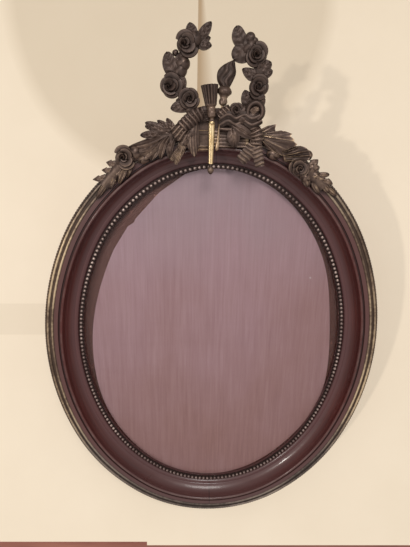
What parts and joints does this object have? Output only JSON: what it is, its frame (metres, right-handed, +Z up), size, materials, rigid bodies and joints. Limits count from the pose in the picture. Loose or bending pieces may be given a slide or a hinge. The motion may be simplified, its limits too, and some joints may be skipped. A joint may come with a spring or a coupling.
{
  "type": "oval picture frame",
  "caption": "Oval wall frame in dark wood with a beaded sight edge, brass outer rim, glazed display card, turn-button back and cast floral crest",
  "frame": {"origin": "the point in the wall plane where the hook carries the raised hanging ring, on the frame's centre line", "axes": "+Z up, +X to the right seen from the front, +Y into the wall; the front faces -Y"},
  "size_m": [0.3726, 0.0513, 0.5522],
  "materials": {
    "mahogany": "French-polished, dark red-brown",
    "hardwood": "bare",
    "rim_brass": "aged, rubbed gilding",
    "bead_brass": "aged",
    "crest_bronze": "dark patina, gilding rubbed on the high points",
    "shaft_gilt": "bright gilding",
    "glass": "polished",
    "silk_card": "mauve silk over card",
    "board_wood": "oiled, plain",
    "fitting_brass": "dull",
    "screw_steel": "dull"
  },
  "bodies": {
    "frame": {"moulding_top_right": "mahogany", "moulding_top_left": "mahogany", "moulding_bottom_left": "mahogany", "moulding_bottom_right": "mahogany", "joint_keys": "hardwood", "rim_right": "rim_brass", "rim_left": "rim_brass", "rim_pins": "rim_brass", "beads_right": "bead_brass", "beads_left": "bead_brass", "glass_pane": "glass", "display_card": "silk_card", "backboard": "board_wood", "turn_button_screws": "screw_steel", "hanger_plate": "fitting_brass", "hanger_screws": "screw_steel", "crest_plate": "crest_bronze", "garland_left": "crest_bronze", "garland_right": "crest_bronze", "crest_rivets": "crest_bronze", "quiver": "crest_bronze", "quiver_shaft": "shaft_gilt", "shaft_drop": "crest_bronze", "torch_body": "crest_bronze", "torch_flame": "crest_bronze", "bow_left": "crest_bronze", "bow_right": "crest_bronze", "spray_left": "crest_bronze", "spray_right": "crest_bronze", "crest_screws": "screw_steel"},
    "ring": {"hanging_ring": "fitting_brass"},
    "button_1": {"turn_button_1": "fitting_brass"},
    "button_2": {"turn_button_2": "fitting_brass"},
    "button_3": {"turn_button_3": "fitting_brass"},
    "button_4": {"turn_button_4": "fitting_brass"},
    "button_5": {"turn_button_5": "fitting_brass"},
    "button_6": {"turn_button_6": "fitting_brass"}
  },
  "joints": [
    {"name": "ring_swing", "type": "hinge", "parent": "frame", "child": "ring", "pos_m": [0, -0.0026, -0.0089], "axis": [1, 0, 0], "range_deg": [0, 180]},
    {"name": "button_1_turn", "type": "hinge", "parent": "frame", "child": "button_1", "pos_m": [0.06577, -0.0043, -0.02252], "axis": [0, 1, 0], "range_deg": [-90, 90]},
    {"name": "button_2_turn", "type": "hinge", "parent": "frame", "child": "button_2", "pos_m": [0.15634, -0.0043, -0.15834], "axis": [0, 1, 0], "range_deg": [-90, 90]},
    {"name": "button_3_turn", "type": "hinge", "parent": "frame", "child": "button_3", "pos_m": [0.11164, -0.0043, -0.36264], "axis": [0, 1, 0], "range_deg": [-90, 90]},
    {"name": "button_4_turn", "type": "hinge", "parent": "frame", "child": "button_4", "pos_m": [-0.06577, -0.0043, -0.02252], "axis": [0, 1, 0], "range_deg": [-90, 90]},
    {"name": "button_5_turn", "type": "hinge", "parent": "frame", "child": "button_5", "pos_m": [-0.15634, -0.0043, -0.15834], "axis": [0, 1, 0], "range_deg": [-90, 90]},
    {"name": "button_6_turn", "type": "hinge", "parent": "frame", "child": "button_6", "pos_m": [-0.11164, -0.0043, -0.36264], "axis": [0, 1, 0], "range_deg": [-90, 90]}
  ]
}
